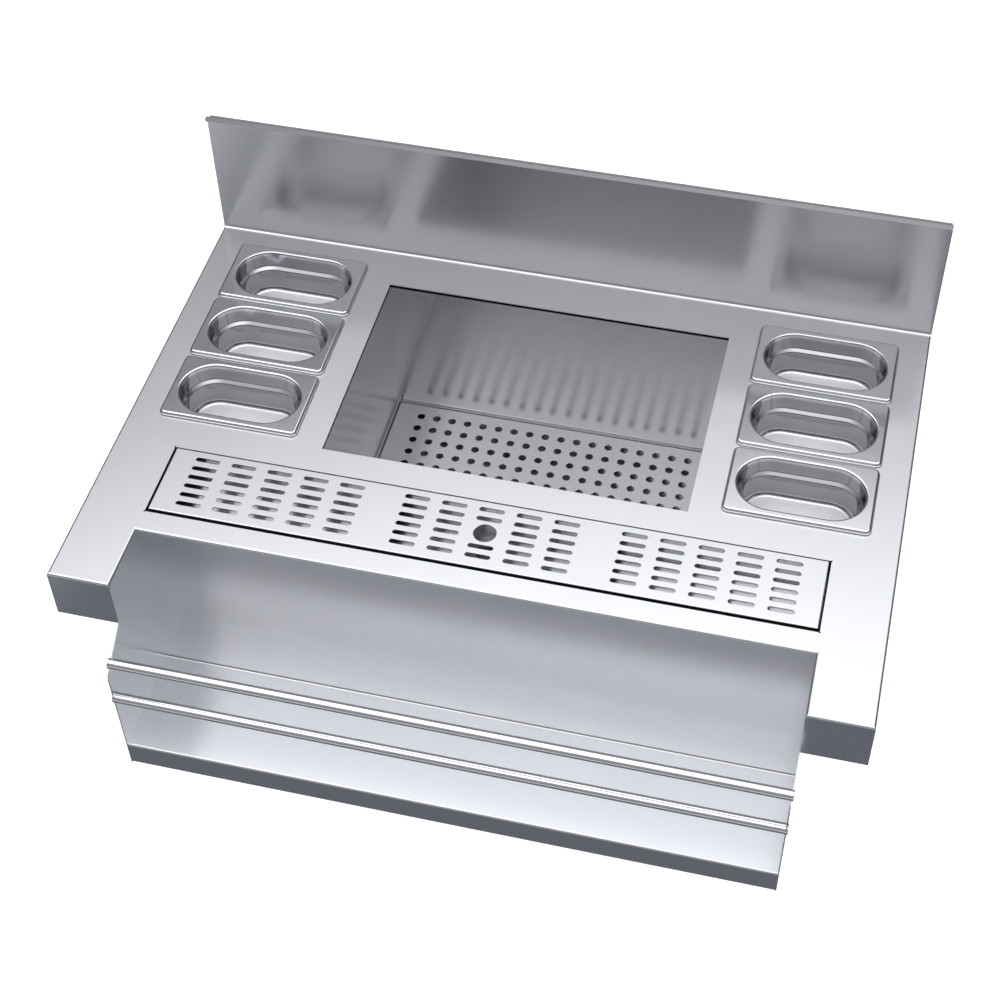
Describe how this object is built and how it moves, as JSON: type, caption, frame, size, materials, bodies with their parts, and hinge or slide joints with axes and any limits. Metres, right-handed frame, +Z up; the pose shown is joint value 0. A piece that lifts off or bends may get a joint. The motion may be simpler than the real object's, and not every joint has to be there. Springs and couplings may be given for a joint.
{
  "type": "bar sink with ice bin",
  "caption": "Stainless bar station top: drained insulated ice bin with a perforated plate, lift-out garnish pans, slotted drip grate over a drained tray, railed bottle trough.",
  "frame": {"origin": "on the wall plane behind the station, at mid width, level with the top face of the worktop", "axes": "+X to the right along the width, +Y into the wall, +Z up; the bartender stands at -Y"},
  "size_m": [1, 0.7165, 0.5245],
  "materials": {
    "brushed_sheet": "satin brushed",
    "drawn_sheet": "bright deep-drawn",
    "polished_steel": "polished",
    "plain_sheet": "plain mill finish",
    "nut_brass": "machined",
    "seal_rubber": "matt",
    "rigid_foam": "closed-cell foam"
  },
  "bodies": {
    "station": {"worktop": "brushed_sheet", "upstand_backing": "rigid_foam", "rear_channel": "plain_sheet", "side_rail_left": "plain_sheet", "side_rail_right": "plain_sheet", "ice_bin": "brushed_sheet", "bin_insulation": "rigid_foam", "bin_casing": "plain_sheet", "bin_outlet": "polished_steel", "bin_outlet_gasket": "seal_rubber", "bin_outlet_nut": "nut_brass", "drip_tray": "brushed_sheet", "tray_outlet": "polished_steel", "tray_outlet_gasket": "seal_rubber", "tray_outlet_nut": "nut_brass", "bottle_trough": "brushed_sheet", "trough_cheek_left": "brushed_sheet", "trough_cheek_right": "brushed_sheet", "upper_rail": "polished_steel", "lower_rail": "polished_steel"},
    "false_bottom": {"false_bottom": "brushed_sheet"},
    "drip_grate": {"drip_grate": "brushed_sheet"},
    "pan_left_back": {"pan_left_back": "drawn_sheet"},
    "pan_left_middle": {"pan_left_middle": "drawn_sheet"},
    "pan_left_front": {"pan_left_front": "drawn_sheet"},
    "pan_right_back": {"pan_right_back": "drawn_sheet"},
    "pan_right_middle": {"pan_right_middle": "drawn_sheet"},
    "pan_right_front": {"pan_right_front": "drawn_sheet"}
  },
  "joints": [
    {"name": "false_bottom_lift", "type": "slide", "parent": "station", "child": "false_bottom", "axis": [0, 0, 1], "range_m": [0, 0.28]},
    {"name": "drip_grate_lift", "type": "slide", "parent": "station", "child": "drip_grate", "axis": [0, 0, 1], "range_m": [0, 0.06]},
    {"name": "pan_left_back_lift", "type": "slide", "parent": "station", "child": "pan_left_back", "axis": [0, 0, 1], "range_m": [0, 0.09]},
    {"name": "pan_left_middle_lift", "type": "slide", "parent": "station", "child": "pan_left_middle", "axis": [0, 0, 1], "range_m": [0, 0.09]},
    {"name": "pan_left_front_lift", "type": "slide", "parent": "station", "child": "pan_left_front", "axis": [0, 0, 1], "range_m": [0, 0.09]},
    {"name": "pan_right_back_lift", "type": "slide", "parent": "station", "child": "pan_right_back", "axis": [0, 0, 1], "range_m": [0, 0.09]},
    {"name": "pan_right_middle_lift", "type": "slide", "parent": "station", "child": "pan_right_middle", "axis": [0, 0, 1], "range_m": [0, 0.09]},
    {"name": "pan_right_front_lift", "type": "slide", "parent": "station", "child": "pan_right_front", "axis": [0, 0, 1], "range_m": [0, 0.09]}
  ]
}
